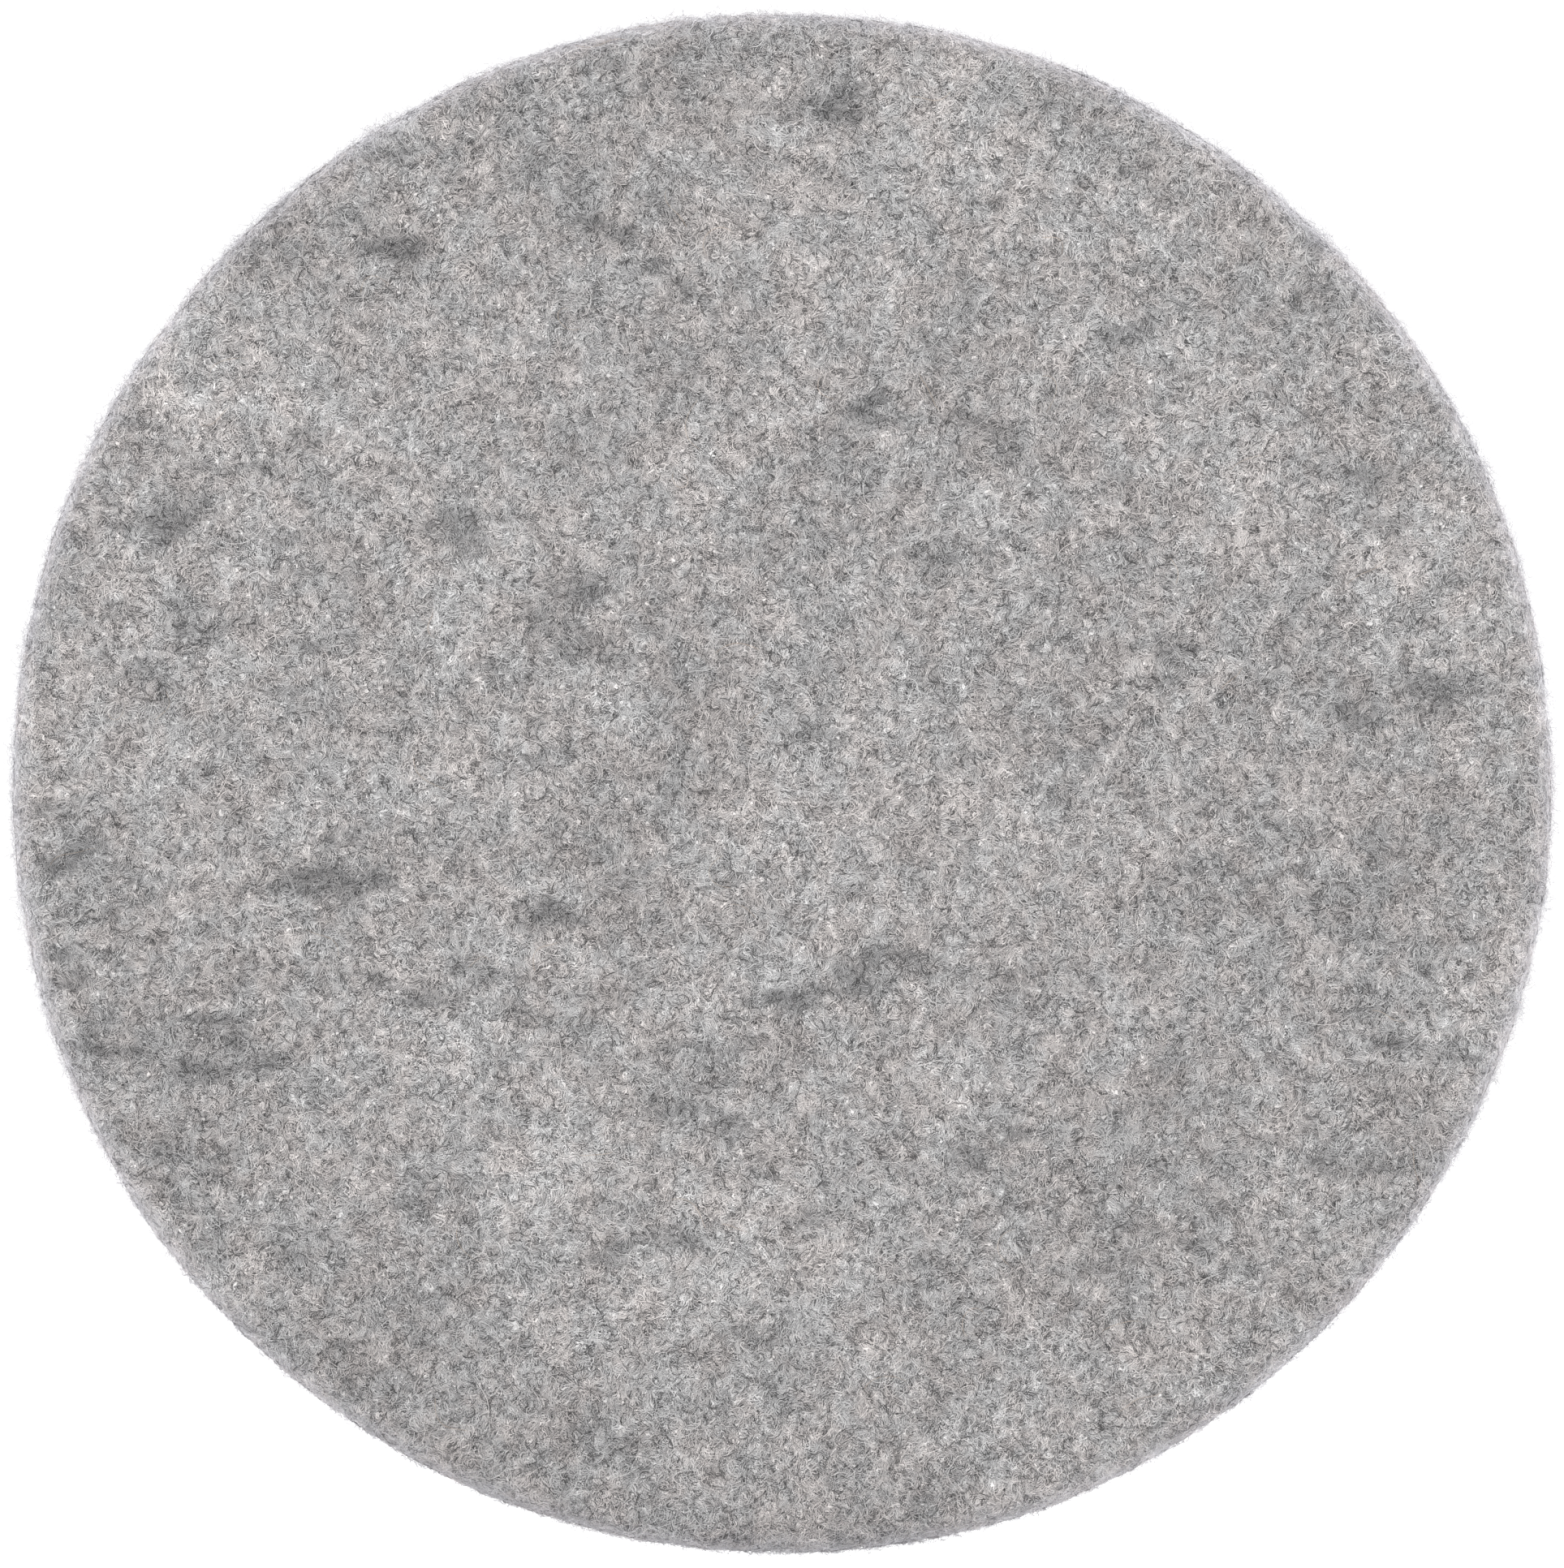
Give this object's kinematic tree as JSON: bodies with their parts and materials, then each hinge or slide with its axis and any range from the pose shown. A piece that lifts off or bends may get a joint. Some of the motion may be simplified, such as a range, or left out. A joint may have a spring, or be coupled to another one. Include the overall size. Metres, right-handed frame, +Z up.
{
  "type": "felt polishing wheel",
  "caption": "Round grey wool felt polishing wheel with an unbroken felt face, a rubber cushion, an aluminium backing plate and a flanged hub with set screws for an arbor.",
  "frame": {"origin": "centre of the bore's mouth, on the spin axis, in the plane of the hub's rear end", "axes": "+Y along the spin axis, out of the bore towards the arbor, so that the felt face looks along -Y; +Z up, through the top set screw; +X through the side set screw"},
  "size_m": [0.2032, 0.0488, 0.2032],
  "materials": {
    "felt": "matt grey wool felt, mottled light and dark, with a fibrous nap",
    "tape": "translucent amber double-sided tape, seen only at its edge",
    "rubber": "black closed-cell sponge rubber",
    "aluminium": "lathe-turned, fine rings",
    "steel": "turned and lightly oiled",
    "zinc": "bright zinc plating",
    "black_oxide": "black oxide"
  },
  "bodies": {
    "wheel": {"felt_pad": "felt", "felt_tape": "tape", "cushion": "rubber", "cushion_tape": "tape", "backing_plate": "aluminium", "hub": "steel", "flange_screw_1": "zinc", "lock_washer_1": "zinc", "flange_nut_1": "zinc", "flange_screw_2": "zinc", "lock_washer_2": "zinc", "flange_nut_2": "zinc", "flange_screw_3": "zinc", "lock_washer_3": "zinc", "flange_nut_3": "zinc", "flange_screw_4": "zinc", "lock_washer_4": "zinc", "flange_nut_4": "zinc"},
    "set_screw_top": {"set_screw_top": "black_oxide"},
    "set_screw_side": {"set_screw_side": "black_oxide"}
  },
  "joints": [
    {"name": "set_screw_top_travel", "type": "slide", "parent": "wheel", "child": "set_screw_top", "axis": [0, 0, 1], "range_m": [-0.0006, 0.005]},
    {"name": "set_screw_side_travel", "type": "slide", "parent": "wheel", "child": "set_screw_side", "axis": [1, 0, 0], "range_m": [-0.0006, 0.005]}
  ]
}
